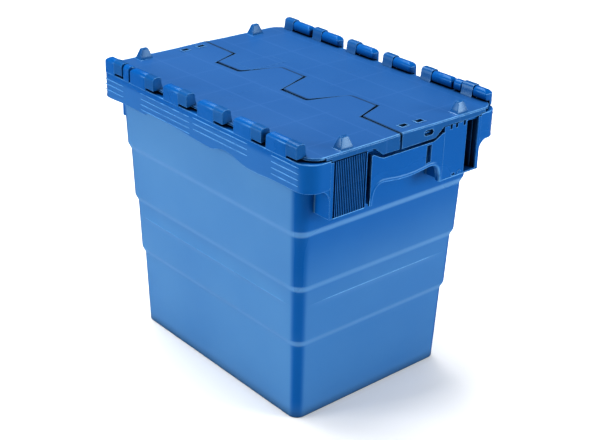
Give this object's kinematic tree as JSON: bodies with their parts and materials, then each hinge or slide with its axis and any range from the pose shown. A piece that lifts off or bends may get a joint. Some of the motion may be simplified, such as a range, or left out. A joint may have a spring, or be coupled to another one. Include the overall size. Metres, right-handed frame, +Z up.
{
  "type": "attached lid storage crate",
  "caption": "Tapered stacking and nesting storage crate with an interlocking pair of hinged lids, end grips and a turned-down rim.",
  "frame": {"origin": "centre of the base, on the surface that the crate stands on", "axes": "+X along the long side towards one grip end, +Y across the crate towards the rear lid's hinges, +Z up"},
  "size_m": [0.4, 0.302, 0.3694],
  "materials": {
    "tub_plastic": "fine moulded grain, satin, mid blue polypropylene",
    "lid_plastic": "fine moulded grain, matt, mid blue polypropylene",
    "pin_plastic": "smooth moulded pin, darker blue"
  },
  "bodies": {
    "tub": {"tub": "tub_plastic", "front_hinge_pin_1": "pin_plastic", "front_hinge_pin_2": "pin_plastic", "front_hinge_pin_3": "pin_plastic", "front_hinge_pin_4": "pin_plastic", "front_hinge_pin_5": "pin_plastic", "front_hinge_pin_6": "pin_plastic", "rear_hinge_pin_1": "pin_plastic", "rear_hinge_pin_2": "pin_plastic", "rear_hinge_pin_3": "pin_plastic", "rear_hinge_pin_4": "pin_plastic", "rear_hinge_pin_5": "pin_plastic", "rear_hinge_pin_6": "pin_plastic"},
    "front_lid": {"front_lid": "lid_plastic"},
    "rear_lid": {"rear_lid": "lid_plastic"}
  },
  "joints": [
    {"name": "front_lid_hinge", "type": "hinge", "parent": "tub", "child": "front_lid", "pos_m": [0, -0.1435, 0.3627], "axis": [1, 0, 0], "range_deg": [0, 255]},
    {"name": "rear_lid_hinge", "type": "hinge", "parent": "tub", "child": "rear_lid", "pos_m": [0, 0.1435, 0.3627], "axis": [-1, 0, 0], "range_deg": [0, 255]}
  ]
}
